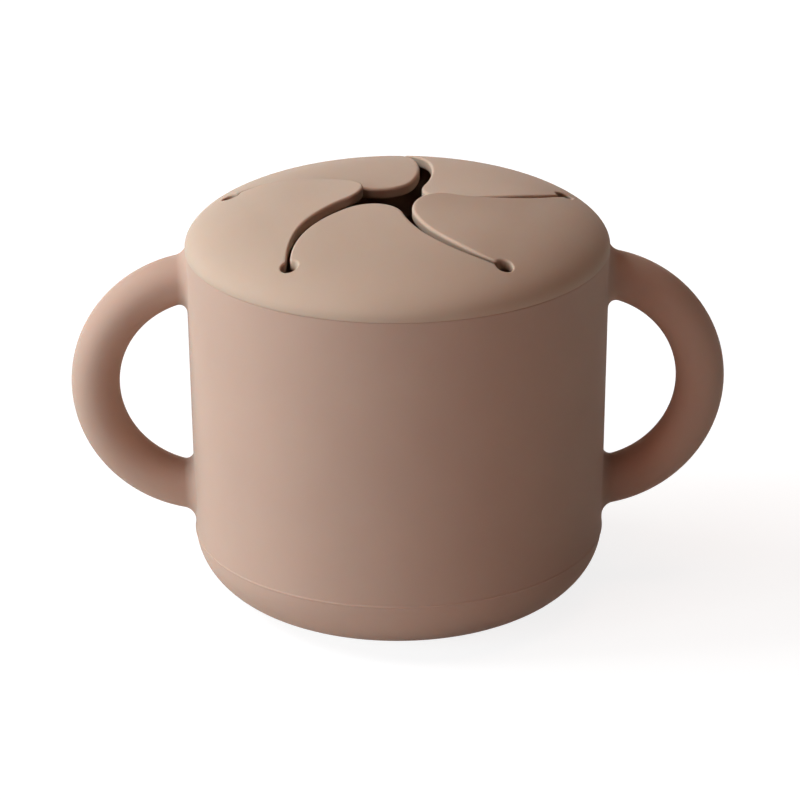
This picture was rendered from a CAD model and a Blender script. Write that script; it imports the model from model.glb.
import math

import bmesh
import bpy
import numpy as np
from mathutils import Matrix, Vector
from mathutils.geometry import delaunay_2d_cdt


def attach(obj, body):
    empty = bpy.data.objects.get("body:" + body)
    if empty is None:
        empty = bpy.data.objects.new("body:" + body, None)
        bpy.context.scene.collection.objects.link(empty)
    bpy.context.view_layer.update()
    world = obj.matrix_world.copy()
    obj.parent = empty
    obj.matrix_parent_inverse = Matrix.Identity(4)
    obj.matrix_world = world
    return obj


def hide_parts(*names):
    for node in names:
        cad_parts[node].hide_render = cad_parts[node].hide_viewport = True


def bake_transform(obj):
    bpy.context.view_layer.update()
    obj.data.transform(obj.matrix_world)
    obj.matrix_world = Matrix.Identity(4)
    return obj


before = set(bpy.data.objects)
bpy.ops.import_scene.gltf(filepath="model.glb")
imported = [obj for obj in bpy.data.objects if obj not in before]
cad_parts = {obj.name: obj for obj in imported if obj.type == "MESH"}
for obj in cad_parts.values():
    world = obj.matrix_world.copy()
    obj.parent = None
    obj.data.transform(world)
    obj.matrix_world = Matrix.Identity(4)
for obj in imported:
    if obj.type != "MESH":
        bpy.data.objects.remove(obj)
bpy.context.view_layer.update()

MM = 0.001

# ------------------------------------------------------------------ sizes, in mm
# cup: its radius grows by TAPER from the top of the base rounding to the rim
CUP_H, CUP_R, TAPER = 75.9, 43.9, 0.9
LOW_R = CUP_R - TAPER
ROUND_W, ROUND_H = 16.5, 14.0           # the base rounding, across and up
FOOT_R = LOW_R - ROUND_W
DISH = 0.7                              # how far the underside is let in
DISH_STEP, DISH_EASE = 4.1, 0.7         # how far inside the foot that starts, and over what width
BORE_R, WALL, FLOOR_T = 41.0, 2.85, 3.2
BORE_H = 10.9                           # the bore runs straight this far down from the rim
CORNER_W, CORNER_H = 15.5, 14.0         # the rounding of the floor inside
RIM_ROUND, RIM_EASE = 0.3, 0.35         # the rim's edges, outside and inside
MOULD_Z, MOULD_BEAD = 13.4, 0.14        # the line of the mould's bottom plate: its height, its bead

# loops: middle of the ring, its radius, the grip's section, the flare of the ends
LOOP_X, LOOP_Z, LOOP_R = 39.6, 45.9, 23.7
GRIP_W, GRIP_D, FLARE = 10.1, 10.8, 2.2
LOOP_UNDER_RIM = 0.45                   # the loops' tops stay this far under the rim
LOOP_EASE, LOOP_EASE_FROM = 0.25, 1.2   # how softly, and how far below that the easing starts
AROUND, GRIP_ROWS = 72, 56              # points round the grip, and rows along it

# lid
LID_R, LID_H, DOME, SHOULDER_W, EDGE = 44.0, 10.8, 3.7, 22.0, 0.35
LID_T = 2.3
FULL = 2.12                             # how squarely the shoulder turns; 2 is an ellipse
SHOULDER_R = LID_R - SHOULDER_W
SHOULDER_H = LID_H - DOME - EDGE
LANDING, LID_ROUND = 0.6, 0.1           # how far in the flat on the cup's rim starts; its edge's rounding
LID_TURN = -1.13                        # degrees; the lid sits turned by this in the cup
PLUG_R, PLUG_IN, PLUG_H = 40.65, 38.55, 7.9
PLUG_NOSE, PLUG_EASE = 0.7, 0.4         # roundings of the plug's foot, outside and inside
PLUG_SUNK, PLUG_OVER = 0.4, 0.3         # how far its top runs into the lid, inside and outside,
PLUG_LEDGE = 1                          # and the width over which it follows the lid's underside
BEAD_Z, BEAD = 3.0, 0.3                 # sealing bead: height over the plug's foot, how far it stands out

# slits: five holes on a ring, each slit an arc from its hole to the middle
FLAPS = 5
SPAN = 360 / FLAPS
HOLE_RING, HOLE_R = 36.95, 1.75         # two hinge lines meet on the ring
HOLE_IN = 0.4                           # and the hole's middle sits this far in from there
SLIT_R, SLIT_W, BULGE, TIP_R = 27.3, 1.55, 6.3, 7.6
NECK_W, NECK_L = 0.78, 13.0             # a slit narrows to this width at its hole, over this length
FILLET = 0.9                            # between a slit's sides and its hole
ROUND_TIP, ROUND_HOLE = 0.6, 0.4        # roundings of the slits' upper edges, at the tips and the holes
ROUND_RUN = 0.4                         # one turns into the other over this share of a flap's length
ROUND_UNDER = 0.4                       # rounding of their lower edges
APO = HOLE_RING * math.cos(math.radians(SPAN / 2))  # from the axis to a flap's hinge line
HEADINGS = [-90 + SPAN * k + LID_TURN for k in range(FLAPS)]    # of the flaps, the front one first

# How each flap of the used lid stands at rest, in mm at its tip: lifted, twisted with its
# anticlockwise side up, and swung anticlockwise.
STANCE = [
    (1.28, 1.15, -0.15),
    (2.81, 2.0, 0.4),
    (-1.06, -1.95, -0.45),
    (-0.47, -0.1, 1.7),
    (2.27, 1.6, -1.65),
]
FLAP_HALF = 12.0                        # half a flap's width, over which its twist is measured
LIFT_CURL, TWIST_CURL, SWING_CURL = 1.4, 2, 0.85    # how each of the three grows towards the tip
BEND_START, SWING_START = 0.12, 0.08    # they set in over these shares of a flap's length
PAST_AXIS = 1.3                         # and go on growing up to this share, past the axis

# fineness of the meshes
WELD = 0.002                            # points nearer than this are one
HELD = 0.2                              # a long stretch of a profile gets points this near its ends,
STRETCH = 5.0                           # and others this far apart, so that roundings shade crisply
WEDGES = 12                             # a spun piece is one wedge and its copies
TURNS = 288                             # columns of the cup and the plug
COLUMNS, SHEET_R = 360, 40.3            # of the lid's ring, spun outside this radius
SHOULDER_ROWS, SHOULDER_END = 22, 89.9  # the last one is just short of upright, in degrees
CORNER_HOLD = 0.3                       # a point of the landing this near its inner corner
HOLE_STEP, FILLET_STEP, BANK_STEP, TIP_STEP = 0.16, 0.12, 0.42, 0.3     # along a slit's edge
DEPTHS = (0.03, 0.1, 0.2, 0.34, 0.5, 0.67, 0.85, 1.15)      # rows of points along a slit's edge
THIN_PAST = 0.5                         # rows deeper than this have every other point
ROW_PLAY = 0.03                         # a row's point may be this much nearer to another stretch
GRID, GRID_CLEAR = 1.15, 1.6            # the field of points between, and its distance from slits
HEX_ROW = 0.866                         # distance of its rows, as a share of GRID
FLAP_FIELD, RING_FIELD = 40.0, 41.0     # half its size for a flap and for the ring
SHEET_CLEAR = 0.8                       # its distance from the sheet's outer edge
HINGE_ROW, HINGE_CLEAR = 0.35, 0.85     # a row beside each hinge line, and the field's distance from it
HINGE_REACH, HINGE_STEP = 19, 1.0       # points of a hinge line either side of its middle
HINGE_END = 0.5                         # the row beside it stops this short of its ends
LEAST = 0.02                            # points nearer to a line than this are left out
ON_EDGE = 0.001                         # and points this near to it lie on it
WALL_ROWS = (0.12, 0.5, 0.88, 1)        # down a slit's wall, as shares of its height


def top_z(r, full=FULL):
    """Height of the lid's top at a radius: a dome, then a shoulder that is nearly an ellipse."""
    u = np.clip((r - SHOULDER_R) / SHOULDER_W, 0, 1)
    return CUP_H + LID_H - DOME * (r / LID_R) ** 2 - SHOULDER_H * (1 - (1 - u ** full) ** (1 / full))


def under_z(r, near=0.01):
    """Height of the lid's underside, so that the sheet is as thick on a slope as in the middle."""
    slope = (top_z(r + near) - top_z(r - near)) / (2 * near)
    return top_z(r) - LID_T * np.sqrt(1 + slope ** 2)


# ------------------------------------------------------------------ mesh helpers
def placed(name, data):
    """Puts a mesh, a lamp or a camera into the scene."""
    thing = bpy.data.objects.new(name, data)
    bpy.context.scene.collection.objects.link(thing)
    return thing


def as_mesh(name, bm, material):
    """Ends some bmesh work as an object."""
    mesh = bpy.data.meshes.new(name)
    bm.to_mesh(mesh)
    bm.free()
    mesh.materials.append(material)
    return placed(name, mesh)


def finished(name, bm, material):
    """Closes the seams of some bmesh work, turns its faces outwards and makes it a smooth piece."""
    bmesh.ops.remove_doubles(bm, verts=bm.verts, dist=WELD * MM)
    bmesh.ops.recalc_face_normals(bm, faces=bm.faces)
    for face in bm.faces:
        face.smooth = True
    return as_mesh(name, bm, material)


def held(line):
    """Adds points to each long stretch of a profile."""
    points = [line[0]]
    for a, b in zip(line, line[1:]):
        a, b = np.array(a, float), np.array(b, float)
        length = np.linalg.norm(b - a)
        if length > 4 * HELD:
            parts = max(1, round(length / STRETCH))
            shares = [HELD / length] + [k / parts for k in range(1, parts)] + [1 - HELD / length]
            points += [tuple(a + (b - a) * share) for share in shares]
        points.append(tuple(b))
    return points


def arc(middle_r, middle_z, size, first, last, n):
    """Points of a quarter round or less, as (radius, height), between two headings in degrees."""
    return [(middle_r + size * math.cos(h), middle_z + size * math.sin(h))
            for h in np.radians(np.linspace(first, last, n + 1))]


def revolve(bm, line, steps):
    """Spins a profile of (radius, height) points about the cup's axis, a wedge at a time."""
    kinds = (bm.verts, bm.edges, bm.faces)
    before = [len(kind) for kind in kinds]
    row = [bm.verts.new((r * MM, 0, z * MM)) for r, z in line]
    edges = [bm.edges.new(pair) for pair in zip(row, row[1:])]
    bmesh.ops.spin(bm, geom=row + edges, axis=(0, 0, 1), cent=(0, 0, 0), angle=2 * math.pi / WEDGES,
                   steps=steps // WEDGES)
    for kind in kinds:
        kind.ensure_lookup_table()
    wedge = [part for kind, n in zip(kinds, before) for part in kind[n:]]
    for k in range(1, WEDGES):
        copy = bmesh.ops.duplicate(bm, geom=wedge)["geom"]
        bmesh.ops.rotate(bm, verts=[v for v in copy if isinstance(v, bmesh.types.BMVert)], cent=(0, 0, 0),
                         matrix=Matrix.Rotation(2 * math.pi * k / WEDGES, 3, "Z"))


# ------------------------------------------------------------------ materials
def lin(hex_colour):
    """Linear RGBA from an sRGB hex colour."""
    parts = [int(hex_colour[i:i + 2], 16) / 255 for i in (1, 3, 5)]
    return tuple(x / 12.92 if x <= 0.04045 else ((x + 0.055) / 1.055) ** 2.4 for x in parts) + (1.0,)


def emptied(owner):
    """The node tree of a material or a world, with nothing in it."""
    owner.use_nodes = True
    owner.node_tree.nodes.clear()
    return owner.node_tree


def node(tree, kind, inputs=None, **props):
    """Adds a shader node; inputs maps a socket name to a value or to another node's socket."""
    made = tree.nodes.new(kind)
    for name, value in props.items():
        setattr(made, name, value)
    for name, value in (inputs or {}).items():
        if isinstance(value, bpy.types.NodeSocket):
            tree.links.new(value, made.inputs[name])
        else:
            made.inputs[name].default_value = value
    return made


def silicone(name, light, dark, seed):
    """Food-grade silicone rubber from a finely blasted mould: a matte, slightly translucent skin."""
    mat = bpy.data.materials.new(name)
    t = emptied(mat)
    place = node(t, "ShaderNodeTexCoord").outputs["Object"]
    mm = node(t, "ShaderNodeVectorMath", {0: place, 1: (1 / MM, 1 / MM, 1 / MM)}, operation="MULTIPLY")
    shift = node(t, "ShaderNodeVectorMath", {0: mm.outputs[0], 1: (seed, seed * 0.7, seed * 1.3)},
                 operation="ADD").outputs[0]
    # faint clouding of the pigment, some 20 mm across
    cloud = node(t, "ShaderNodeTexNoise",
                 {"Vector": shift, "Scale": 0.05, "Detail": 3.0, "Roughness": 0.5})
    tone = node(t, "ShaderNodeMix",
                {0: cloud.outputs["Fac"], 6: lin(dark), 7: lin(light)}, data_type="RGBA")
    # the mould's blasted grain, about 0.25 mm, and soft waves of the skin, about 9 mm
    grain = node(t, "ShaderNodeTexNoise",
                 {"Vector": shift, "Scale": 4.0, "Detail": 2.0, "Roughness": 0.6})
    waves = node(t, "ShaderNodeTexNoise",
                 {"Vector": shift, "Scale": 0.11, "Detail": 1.0, "Roughness": 0.4})
    fine = node(t, "ShaderNodeBump",
                {"Strength": 0.12, "Distance": 0.00003, "Height": grain.outputs["Fac"]})
    bump = node(t, "ShaderNodeBump",
                {"Strength": 0.15, "Distance": 0.0002, "Height": waves.outputs["Fac"],
                 "Normal": fine.outputs["Normal"]})
    rough = node(t, "ShaderNodeMapRange",
                 {"Value": grain.outputs["Fac"], "From Min": 0.3, "From Max": 0.7,
                  "To Min": 0.62, "To Max": 0.74})
    skin = node(t, "ShaderNodeBsdfPrincipled", {
        "Base Color": tone.outputs[2], "Roughness": rough.outputs[0], "Normal": bump.outputs["Normal"],
        "IOR": 1.41, "Specular IOR Level": 0.06, "Subsurface Weight": 0.4,
        "Subsurface Radius": (1.0, 0.35, 0.2), "Subsurface Scale": 0.0014})
    node(t, "ShaderNodeOutputMaterial", {"Surface": skin.outputs[0]})
    return mat


# the lid is moulded from a batch a trace yellower than the cup's
cup_skin = silicone("silicone_cup", "#ba9886", "#b39180", 3.0)
lid_skin = silicone("silicone_lid", "#bda18d", "#b69a87", 11.0)

# ------------------------------------------------------------------ cup
MOULD_AT = math.degrees(math.acos(1 - MOULD_Z / ROUND_H))   # where the mould's line lies on the rounding
# the bead of that line: degrees from its middle, and share of its height
MOULD_RISE = ((-1.8, 0), (-0.95, 0), (-0.6, 0.64), (0, 1), (0.6, 0.64), (0.95, 0), (1.8, 0))
MOULD_CLEAR = 1.9                       # degrees; the rounding's own points stop this far short of it
BASE_STEP, CORNER_STEP = 4, 6           # degrees from point to point of the roundings


def base_point(heading, proud=0.0):
    """A point of the base rounding, its heading in degrees from straight down."""
    h = math.radians(heading)
    return FOOT_R + (ROUND_W + proud) * math.sin(h), ROUND_H - (ROUND_H + proud) * math.cos(h)


cup_line = [(0, DISH), (FOOT_R - DISH_STEP - DISH_EASE, DISH), (FOOT_R - DISH_STEP, 0), (FOOT_R, 0)]
cup_line += [base_point(heading) for heading in np.arange(BASE_STEP, MOULD_AT - MOULD_CLEAR, BASE_STEP)]
cup_line += [base_point(MOULD_AT + off, MOULD_BEAD * rise) for off, rise in MOULD_RISE]
cup_line += [(LOW_R, ROUND_H)]
cup_line += arc(CUP_R - RIM_ROUND, CUP_H - RIM_ROUND, RIM_ROUND, 0, 90, 5)
cup_line += [(BORE_R + RIM_EASE, CUP_H), (BORE_R, CUP_H - RIM_EASE), (BORE_R, CUP_H - BORE_H),
             (LOW_R - WALL, FLOOR_T + CORNER_H)]
for h in np.radians(np.arange(90 - CORNER_STEP, -1, -CORNER_STEP)):
    cup_line.append((LOW_R - WALL - CORNER_W * (1 - math.sin(h)), FLOOR_T + CORNER_H * (1 - math.cos(h))))
cup_line.append((0, FLOOR_T))
cup_bm = bmesh.new()
revolve(cup_bm, held(cup_line), TURNS)
cup = finished("cup", cup_bm, cup_skin)
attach(cup, "cup")
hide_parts("cup_body")

# ------------------------------------------------------------------ handles
# the root of a loop, row by row: how far its skin has flared, and how far it stands off the wall;
# the last rows run in just under the wall's skin
ROOT = [(FLARE * (1 - math.cos(h)), FLARE * (1 - math.sin(h))) for h in np.radians(range(0, 91, 9))]
ROOT += [(FLARE + 0.7, -0.03), (FLARE + 0.9, -0.1), (FLARE + 0.9, -1.5)]


def wall_r(z):
    """Radius of the cup's wall at a height."""
    return LOW_R + TAPER * (z - ROUND_H) / (CUP_H - ROUND_H)


def loop_point(heading, u, v):
    """A point of the loop: u out from the middle of the grip, v along the loop's axis."""
    h = math.radians(heading)
    return LOOP_X + (LOOP_R + u) * math.cos(h), v, LOOP_Z + (LOOP_R + u) * math.sin(h)


def meets_wall(u, v, stand_off, way):
    """The heading at which a line of the loop's skin comes this close to the cup's wall."""
    clear, past = 45.0, 135.0
    for _ in range(40):                 # halvings, far finer than a mesh needs
        middle = (clear + past) / 2
        x, y, z = loop_point(way * middle, u, v)
        if x - math.sqrt(wall_r(z) ** 2 - y * y) > stand_off:
            clear = middle
        else:
            past = middle
    return way * middle


def skin_line(heading):
    """One line of the loop's skin, from its lower root to its upper one; heading goes round the grip."""
    c, s = math.cos(heading), math.sin(heading)
    roots = {}
    for way in (-1, 1):
        roots[way] = []
        for flare, off in ROOT:
            u, v = (GRIP_W / 2 + flare) * c, (GRIP_D / 2 + flare) * s
            roots[way].append(loop_point(meets_wall(u, v, off, way), u, v))
    u, v = GRIP_W / 2 * c, GRIP_D / 2 * s
    first, last = (meets_wall(u, v, FLARE, way) for way in (-1, 1))
    grip = [loop_point(h, u, v) for h in np.linspace(first, last, GRIP_ROWS)[1:-1]]
    return roots[-1][::-1] + grip + roots[1]


def handle(name, node_name, side):
    """A round loop: a ring of points spun into a tube, then each point set on its line of the skin."""
    tube_r, turn_by = 3, math.radians(3)    # the tube as spun: wider than its ring, less than a full turn
    lines = [skin_line(2 * math.pi * k / AROUND) for k in range(AROUND)]
    bm = bmesh.new()
    line_no = bm.verts.layers.int.new("line")
    ring = bmesh.ops.create_circle(bm, segments=AROUND, radius=1)["verts"]
    for k, v in enumerate(ring):
        v[line_no] = k
    bmesh.ops.translate(bm, verts=ring, vec=(tube_r, 0, 0))
    bmesh.ops.spin(bm, geom=bm.verts[:] + bm.edges[:], axis=(0, -1, 0), cent=(0, 0, 0),
                   angle=turn_by * (len(lines[0]) - 1), steps=len(lines[0]) - 1)
    top = CUP_H - LOOP_UNDER_RIM
    for v in bm.verts:
        row = round(math.atan2(v.co.z, v.co.x) % (2 * math.pi) / turn_by)
        x, y, z = lines[v[line_no]][row]
        if z > top - LOOP_EASE_FROM:
            z = top - LOOP_EASE * math.log(1 + math.exp((top - z) / LOOP_EASE))
        v.co = Vector((side * x, y, z)) * MM
    piece = finished(name, bm, cup_skin)
    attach(piece, "cup")
    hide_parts(node_name)


handle("handle_right", "right_handle", 1)
handle("handle_left", "left_handle", -1)


# ------------------------------------------------------------------ lid: outlines in plan
def turned(p, degrees):
    """Points in plan, turned anticlockwise about the axis."""
    c, s = math.cos(math.radians(degrees)), math.sin(math.radians(degrees))
    p = np.asarray(p, float)
    return np.stack([p[..., 0] * c - p[..., 1] * s, p[..., 0] * s + p[..., 1] * c], -1)


def radius(p):
    """Distance of points in plan from the axis, or the length of steps between them."""
    return np.linalg.norm(p, axis=-1)


def on(c, r, towards):
    """The point of a circle that lies towards a given point."""
    return c + r * (towards - c) / np.linalg.norm(towards - c)


def two_circles(c1, r1, c2, r2, near_to):
    """The point at r1 from c1 and r2 from c2 that lies nearer to near_to."""
    d = np.linalg.norm(c2 - c1)
    along = (d * d + r1 * r1 - r2 * r2) / (2 * d)
    off = math.sqrt(max(0.0, r1 * r1 - along * along))
    e = (c2 - c1) / d
    choices = [c1 + along * e + way * off * np.array([-e[1], e[0]]) for way in (1, -1)]
    return min(choices, key=lambda q: np.linalg.norm(q - near_to))


def sweep(c, r, p0, p1, ccw, step):
    """Points on the circle c, r from p0 to p1, both included."""
    first = math.atan2(*(p0 - c)[::-1])
    last = math.atan2(*(p1 - c)[::-1])
    d = (last - first) % (2 * math.pi)
    if not ccw:
        d -= 2 * math.pi
    n = max(2, math.ceil(abs(d) * r / step))
    headings = [first + d * k / n for k in range(n + 1)]
    return [on(c, r, c + (math.cos(h), math.sin(h))) for h in headings]


def smooth_step(x):
    """0 up to 0, 1 from 1 on, and a smooth rise between them."""
    x = np.clip(x, 0, 1)
    return x * x * (3 - 2 * x)


# A flap points from its hinge line at x = APO towards the axis, between the holes a and b. Each slit
# lies on a circle through its hole; slit_c is that circle's middle where the hole lies at 0 degrees.
slit_c = np.array([HOLE_RING - math.sqrt(SLIT_R ** 2 - (SLIT_R - BULGE) ** 2), SLIT_R - BULGE])
side_a, side_b = (turned(slit_c, way * SPAN / 2) for way in (-1, 1))
hole_a, hole_b = (turned((HOLE_RING - HOLE_IN, 0), way * SPAN / 2) for way in (-1, 1))
WIDE_IN, WIDE_OUT = SLIT_R - SLIT_W / 2, SLIT_R + SLIT_W / 2
NECK_IN, NECK_OUT = SLIT_R - NECK_W / 2, SLIT_R + NECK_W / 2

# the middles of the tip's round and of the fillets, each some way in from its hole and on the slit's
# side of it, and the point where the edge starts on hole a
tip_c = two_circles(side_a, WIDE_IN - TIP_R, side_b, WIDE_OUT + TIP_R, np.zeros(2))
fil_a = two_circles(hole_a, HOLE_R + FILLET, side_a, NECK_IN - FILLET, hole_a + (-2.0, 1.0))
fil_b = two_circles(hole_b, HOLE_R + FILLET, side_b, NECK_OUT + FILLET, hole_b + (-2.0, -1.0))
start = np.array([APO, hole_a[1] + math.sqrt(HOLE_R ** 2 - (APO - hole_a[0]) ** 2)])


def bank(c, neck, wide, at_hole, at_tip):
    """One side of a slit from its hole to its tip, opening out from the neck to the full width."""
    way = sweep(c, wide, on(c, wide, at_hole), on(c, wide, at_tip), False, BANK_STEP)
    opened = [smooth_step(np.linalg.norm(p - way[0]) / NECK_L) for p in way]
    return [on(c, neck + (wide - neck) * share, p) for share, p in zip(opened, way)]


def joined(*stretches):
    """One line from stretches that each start where the last one ends."""
    points = list(stretches[0])
    for more in stretches[1:]:
        points += list(more)[1:]
    return points


out_edge = joined(
    sweep(hole_a, HOLE_R, start, on(hole_a, HOLE_R, fil_a), True, HOLE_STEP),
    sweep(fil_a, FILLET, on(hole_a, HOLE_R, fil_a), on(side_a, NECK_IN, fil_a), False, FILLET_STEP),
    bank(side_a, NECK_IN, WIDE_IN, fil_a, tip_c),
    sweep(tip_c, TIP_R, on(side_a, WIDE_IN, tip_c), on(side_b, WIDE_OUT, tip_c), False, TIP_STEP))
back_edge = joined(
    bank(side_b, NECK_OUT, WIDE_OUT, fil_b, tip_c)[::-1],
    sweep(fil_b, FILLET, on(side_b, NECK_OUT, fil_b), on(hole_b, HOLE_R, fil_b), False, FILLET_STEP),
    sweep(hole_b, HOLE_R, on(hole_b, HOLE_R, fil_b), turned(start, SPAN), True, HOLE_STEP))
# the way back crosses the hinge line at finish: up to there it is the flap's edge, then the rim's
cross = next(i for i, p in enumerate(back_edge) if p[0] > APO)
share = (APO - back_edge[cross - 1][0]) / (back_edge[cross][0] - back_edge[cross - 1][0])
finish = back_edge[cross - 1] + share * (back_edge[cross] - back_edge[cross - 1])
free_edge = np.array(out_edge + [p for p in back_edge[1:cross] if APO - p[0] > LEAST] + [finish])
hole_edge = np.array([finish] + [p for p in back_edge[cross:cross + 1] if p[0] - APO > LEAST]
                     + back_edge[cross + 1:])

# points of a hinge line, closer at its ends
from_ends = [end + way * d for end, way in ((start[1], 1), (finish[1], -1)) for d in (0,) + DEPTHS]
even = list(np.arange(-HINGE_REACH, HINGE_REACH + LEAST, HINGE_STEP))
HINGE_Y = sorted(set(round(float(y), 6) for y in from_ends + even))
hinge_line = [np.array([APO, y]) for y in HINGE_Y]
beside_hinge = np.array([(HINGE_ROW, y) for y in HINGE_Y
                         if start[1] + HINGE_END < y < finish[1] - HINGE_END])


# ------------------------------------------------------------------ lid: sheets
def edge_distance(q, polys):
    """Distance of each point to the nearest of some open polylines."""
    best = np.full(len(q), 1e9)
    for poly in polys:
        a, b = poly[:-1], poly[1:]
        ab = b - a
        along = np.clip(((q[:, None] - a) * ab).sum(2) / (ab * ab).sum(1), 0, 1)
        best = np.minimum(best, radius(q[:, None] - (a + along[..., None] * ab)).min(1))
    return best


def inset(poly, side):
    """Rows of points along one side of a free edge, kept only where no other stretch is nearer."""
    along = np.gradient(poly, axis=0)
    across = np.stack([-along[:, 1], along[:, 0]], 1) * side
    across /= radius(across)[:, None]
    rows = []
    for depth in DEPTHS:
        row = poly + across * depth
        if depth > THIN_PAST:
            row = row[::2]
        rows.append(row[edge_distance(row, [poly]) > depth - ROW_PLAY])
    return np.concatenate(rows)


def within(q, loop):
    """Whether each point lies inside a closed loop: a ray from it crosses the loop an odd number of
    times."""
    a, b = loop, np.roll(loop, -1, 0)
    x, y = q[:, 0, None], q[:, 1, None]
    with np.errstate(divide="ignore", invalid="ignore"):
        crossing = (b[:, 0] - a[:, 0]) * (y - a[:, 1]) / (b[:, 1] - a[:, 1]) + a[:, 0]
    return (((a[:, 1] > y) != (b[:, 1] > y)) & (x < crossing)).sum(1) % 2 == 1


def past_hinge(q):
    """How far each point lies outside the nearest hinge line."""
    return np.max([turned(q, -heading)[:, 0] for heading in HEADINGS], axis=0) - APO


def hexes(half):
    """An even field of points over the lid."""
    points = []
    for i, y in enumerate(np.arange(-half, half, GRID * HEX_ROW)):
        points += [(x + (i % 2) * GRID / 2, y) for x in np.arange(-half, half, GRID)]
    return np.array(points)


def triangulated(loops, extra, keep):
    """Triangles between closed loops and through extra points, those whose middles are to be kept."""
    points, edges = [], []
    for loop in loops:
        first = len(points)
        points += [Vector(p) for p in loop]
        edges += [(first + i, first + (i + 1) % len(loop)) for i in range(len(loop))]
    points += [Vector(p) for p in extra]
    corners, _, tris, *_ = delaunay_2d_cdt(points, edges, [], 0, 1e-5)
    corners = np.array([(v.x, v.y) for v in corners])
    tris = np.array([tri for tri in tris if len(tri) == 3])
    return corners, tris[keep(corners[tris].mean(1))]


def eased(depth, size):
    """How far a rounding of this size has dropped at a depth from the edge."""
    return size - np.sqrt(np.clip(size ** 2 - np.clip(size - depth, 0, None) ** 2, 0, None))


def slab(plan, tris, free, rounding):
    """A sheet of lid between its top and its underside, with upright walls along its free edges."""
    depth = edge_distance(plan, free)
    top = top_z(radius(plan)) - eased(depth, rounding)
    under = under_z(radius(plan)) + eased(depth, ROUND_UNDER)
    bm = bmesh.new()
    point = bm.verts.layers.int.new("point")
    corners = [bm.verts.new((x * MM, y * MM, z * MM)) for (x, y), z in zip(plan, top)]
    for n, v in enumerate(corners):
        v[point] = n
    for tri in tris:
        bm.faces.new([corners[i] for i in tri])
    lip = [e for e in bm.edges if e.is_boundary and max(depth[v[point]] for v in e.verts) < ON_EDGE]
    for v in bmesh.ops.duplicate(bm, geom=bm.faces[:])["geom"]:
        if isinstance(v, bmesh.types.BMVert):
            v.co.z = under[v[point]] * MM
    for down in WALL_ROWS:
        made = bmesh.ops.extrude_edge_only(bm, edges=lip)["geom"]
        lower = {v for v in made if isinstance(v, bmesh.types.BMVert)}
        for v in lower:
            v.co.z = (top[v[point]] * (1 - down) + under[v[point]] * down) * MM
        lip = [e for e in made if isinstance(e, bmesh.types.BMEdge) and lower.issuperset(e.verts)]
    return bm


# ------------------------------------------------------------------ lid: flaps
def flap_plan():
    """The flat flap: its points in plan, and its triangles."""
    loop = np.array(list(free_edge) + hinge_line[::-1][1:-1])
    field = hexes(FLAP_FIELD)
    field = field[within(field, loop)]
    field = field[(edge_distance(field, [free_edge]) > GRID_CLEAR) & (field[:, 0] < APO - HINGE_CLEAR)]
    rows = inset(free_edge, -1)
    rows = rows[within(rows, loop) & (rows[:, 0] < APO - LEAST)]
    return triangulated([loop], np.concatenate([rows, (APO, 0) + beside_hinge * (-1, 1), field]),
                        lambda q: within(q, loop))


def stand(places, lift, twist, swing):
    """Moves a flat flap's points as it stands; nothing moves at its hinge line."""
    x, y, z = places.T
    out = np.clip((APO - x) / APO, 0, PAST_AXIS)
    bend = lift * out ** LIFT_CURL + twist * y / FLAP_HALF * out ** TWIST_CURL
    z = z + bend * (1 - np.exp(-(out / BEND_START) ** 2))
    y = y + swing * out ** SWING_CURL * (1 - np.exp(-(out / SWING_START) ** 2))
    return np.stack([x, y], 1), z


flap_points, flap_tris = flap_plan()
inwards = smooth_step((APO - flap_points[:, 0]) / APO / ROUND_RUN)
flat_flap = slab(flap_points, flap_tris, [free_edge], ROUND_HOLE + (ROUND_TIP - ROUND_HOLE) * inwards)
flat_places = np.array([v.co for v in flat_flap.verts]) / MM
for k, (heading, how) in enumerate(zip(HEADINGS, STANCE), 1):
    plan, heights = stand(flat_places, *how)
    flap_bm = flat_flap.copy()
    for v, (x, y), z in zip(flap_bm.verts, turned(plan, heading), heights):
        v.co = Vector((x, y, z)) * MM
    piece = finished(f"lid_flap_{k}", flap_bm, lid_skin)
    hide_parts(f"flap_{k}")
    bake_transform(piece)
flat_flap.free()

# ------------------------------------------------------------------ lid: ring and plug
hole_edges = [turned(hole_edge, heading) for heading in HEADINGS]


def ring_plan():
    """The ring's sheet, from the hinge lines and holes out to SHEET_R: its points and triangles."""
    outer = np.array([turned((SHEET_R, 0), 360 * i / COLUMNS) for i in range(COLUMNS)])
    inner = np.concatenate([np.concatenate([turned(hinge_line, heading), hole[1:-1]])
                            for heading, hole in zip(HEADINGS, hole_edges)])
    field = hexes(RING_FIELD)
    field = field[(radius(field) < SHEET_R - SHEET_CLEAR) & ~within(field, inner)]
    field = field[(edge_distance(field, hole_edges) > GRID_CLEAR) & (past_hinge(field) > HINGE_CLEAR)]
    near_hinge = np.concatenate([turned((APO, 0) + beside_hinge, heading) for heading in HEADINGS])
    rows = np.concatenate([inset(hole, side) for hole in hole_edges for side in (1, -1)])
    rows = rows[~within(rows, inner) & (radius(rows) < SHEET_R - LEAST)]
    rows = rows[past_hinge(rows) > LEAST]
    return triangulated([outer, inner], np.concatenate([rows, near_hinge, field]),
                        lambda q: ~within(q, inner) & (radius(q) < SHEET_R))


ring_bm = slab(*ring_plan(), hole_edges, ROUND_HOLE)
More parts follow.
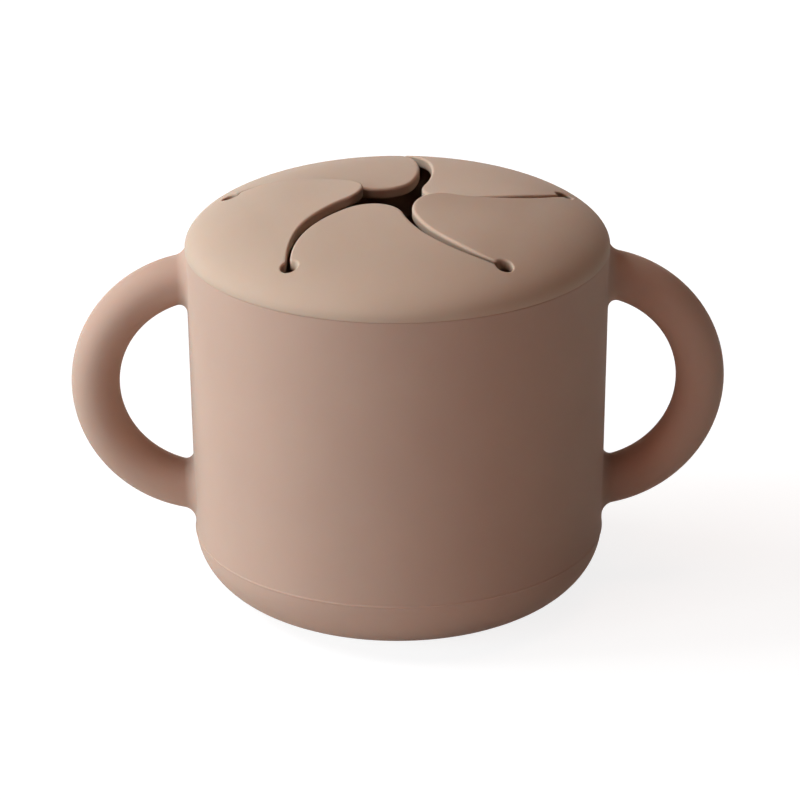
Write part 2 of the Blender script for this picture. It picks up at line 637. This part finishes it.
# shoulder, upright edge and landing
ring_line = [(SHEET_R, float(top_z(SHEET_R)))]
shoulder_from = math.asin((SHEET_R - SHOULDER_R) / SHOULDER_W)
for h in np.linspace(shoulder_from, math.radians(SHOULDER_END), SHOULDER_ROWS)[1:]:
    r = SHOULDER_R + SHOULDER_W * math.sin(h)
    ring_line.append((r, float(top_z(r))))
ring_line += arc(LID_R - LID_ROUND, CUP_H + LID_ROUND, LID_ROUND, 0, -90, 4)
ring_line += [(LID_R - LANDING, CUP_H), (SHEET_R + CORNER_HOLD, CUP_H), (SHEET_R, CUP_H),
              (SHEET_R, float(under_z(SHEET_R)))]
revolve(ring_bm, ring_line, COLUMNS)
ring = finished("lid_ring", ring_bm, lid_skin)
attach(ring, "lid")
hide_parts("lid_rim")

PLUG_FOOT = CUP_H - PLUG_H
# the sealing bead: mm from its middle, and share of its height
BEAD_RISE = ((-0.8, 0), (-0.5, 0.3), (-0.2, 0.8), (0, 1), (0.2, 0.8), (0.5, 0.3), (0.8, 0))
plug_line = [(r, float(under_z(r)) + PLUG_SUNK) for r in (PLUG_IN + PLUG_LEDGE, PLUG_IN)]
plug_line.append((PLUG_IN, PLUG_FOOT + PLUG_EASE))
plug_line += arc(PLUG_IN + PLUG_EASE, PLUG_FOOT + PLUG_EASE, PLUG_EASE, 180, 270, 4)
plug_line += arc(PLUG_R - PLUG_NOSE, PLUG_FOOT + PLUG_NOSE, PLUG_NOSE, 270, 360, 6)
plug_line += [(PLUG_R + BEAD * rise, PLUG_FOOT + BEAD_Z + off) for off, rise in BEAD_RISE]
plug_line.append((PLUG_R, CUP_H + PLUG_OVER))
plug_bm = bmesh.new()
revolve(plug_bm, held(plug_line + plug_line[:1]), TURNS)
plug = finished("lid_plug_ring", plug_bm, lid_skin)
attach(plug, "lid")
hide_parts("lid_plug")


# ------------------------------------------------------------------ floor and world
def shows(tree):
    """1 for what is seen directly, in gloss or through glass, and 0 for light on the object."""
    path = node(tree, "ShaderNodeLightPath").outputs
    direct = node(tree, "ShaderNodeMath", {0: path["Is Camera Ray"], 1: path["Is Glossy Ray"]},
                  operation="MAXIMUM")
    return node(tree, "ShaderNodeMath", {0: direct.outputs[0], 1: path["Is Transmission Ray"]},
                operation="MAXIMUM").outputs[0]


def paper_floor():
    """Pale paper: it lights the object as paper does, and shows white but for a soft shadow."""
    paper = bpy.data.materials.new("paper_floor")
    tree = emptied(paper)
    sheet = node(tree, "ShaderNodeBsdfDiffuse", {"Color": lin("#cfcac6"), "Roughness": 1.0})
    faint = node(tree, "ShaderNodeBsdfDiffuse", {"Color": lin("#9c9896"), "Roughness": 1.0})
    glow = node(tree, "ShaderNodeEmission", {"Color": (1, 1, 1, 1), "Strength": 0.84})
    white = node(tree, "ShaderNodeAddShader", {0: faint.outputs[0], 1: glow.outputs[0]})
    mix = node(tree, "ShaderNodeMixShader", {0: shows(tree), 1: sheet.outputs[0], 2: white.outputs[0]})
    node(tree, "ShaderNodeOutputMaterial", {"Surface": mix.outputs[0]})
    return paper


def studio():
    """A white room to look at, which gives no light of its own."""
    world = bpy.data.worlds.new("studio")
    tree = emptied(world)
    dark = node(tree, "ShaderNodeBackground", {"Color": (0, 0, 0, 1), "Strength": 0.0})
    card = node(tree, "ShaderNodeBackground", {"Color": (1, 1, 1, 1), "Strength": 1.0})
    mix = node(tree, "ShaderNodeMixShader", {0: shows(tree), 1: dark.outputs[0], 2: card.outputs[0]})
    node(tree, "ShaderNodeOutputWorld", {"Surface": mix.outputs[0]})
    return world


FLOOR_HALF = 3.0                        # metres, from the middle to an edge
PAPER_T = 0.1                           # mm; the paper lies this far under the foot, not in its plane
floor_bm = bmesh.new()
bmesh.ops.create_grid(floor_bm, x_segments=1, y_segments=1, size=FLOOR_HALF)
bmesh.ops.translate(floor_bm, verts=floor_bm.verts, vec=(0, 0, -PAPER_T * MM))
floor = as_mesh("floor", floor_bm, paper_floor())
bpy.context.scene.world = studio()

# ------------------------------------------------------------------ lamps
AIM = Vector((0, 0, 0.045))             # metres; the middle of the cup
LAMP_FAR, LAMP_SIZE = 2.5, 1.25         # metres from the object, and across
LAMP_BASE = 0.04                        # metres; the lamps go round a point this high


def lamp(name, azimuth, elevation, power, colour):
    """A square soft box round the object, its power given as at one metre; azimuth 0 is in front."""
    a, e = math.radians(azimuth), math.radians(elevation)
    light = bpy.data.lights.new(name, "AREA")
    light.size = LAMP_SIZE
    light.energy = power * LAMP_FAR ** 2
    light.color = lin(colour)[:3]
    box = placed(name, light)
    way = Vector((math.sin(a) * math.cos(e), -math.cos(a) * math.cos(e), math.sin(e)))
    box.location = way * LAMP_FAR
    box.location.z += LAMP_BASE
    box.rotation_euler = (AIM - box.location).to_track_quat("-Z", "Y").to_euler()


lamp("key", -75, 8, 7.3, "#cef1ff")
lamp("side", -98, 42, 9.15, "#eef9ff")
lamp("quarter", -52, 8, 4.0, "#d5f4ff")
lamp("front", -28, 8, 1.95, "#ffb8a0")
lamp("top", 0, 90, 2.1, "#ffd6c3")
lamp("back", 180, 4, 2.0, "#ffffff")

# ------------------------------------------------------------------ camera
# a long lens that looks down at the cup from in front; lengths in mm, the focal length in pixels
F_PX, FRAME_PX, SENSOR = 4190.0, 800, 36.0
DIST, ELEV, ROLL, YAW = 880.0, 22.64, -0.30, 0.92
TARGET = (0.38, 0, 41.17)
elev, roll, yaw = (math.radians(a) for a in (ELEV, ROLL, YAW))
ahead = Vector((0, math.cos(elev), -math.sin(elev)))
level = Vector((1, 0, 0))
right = math.cos(roll) * level + math.sin(roll) * level.cross(ahead)
upright = -math.sin(roll) * level + math.cos(roll) * level.cross(ahead)
pose = Matrix((right, upright, -ahead)).transposed().to_4x4()
pose.translation = (Vector(TARGET) - ahead * DIST) * MM
lens = bpy.data.cameras.new("camera")
lens.sensor_width = SENSOR
lens.lens = F_PX * SENSOR / FRAME_PX
lens.clip_start, lens.clip_end = 0.05, 20.0
camera = placed("camera", lens)
camera.matrix_world = Matrix.Rotation(-yaw, 4, "Z") @ pose
bpy.context.scene.camera = camera

bpy.context.scene.view_settings.view_transform = "Standard"
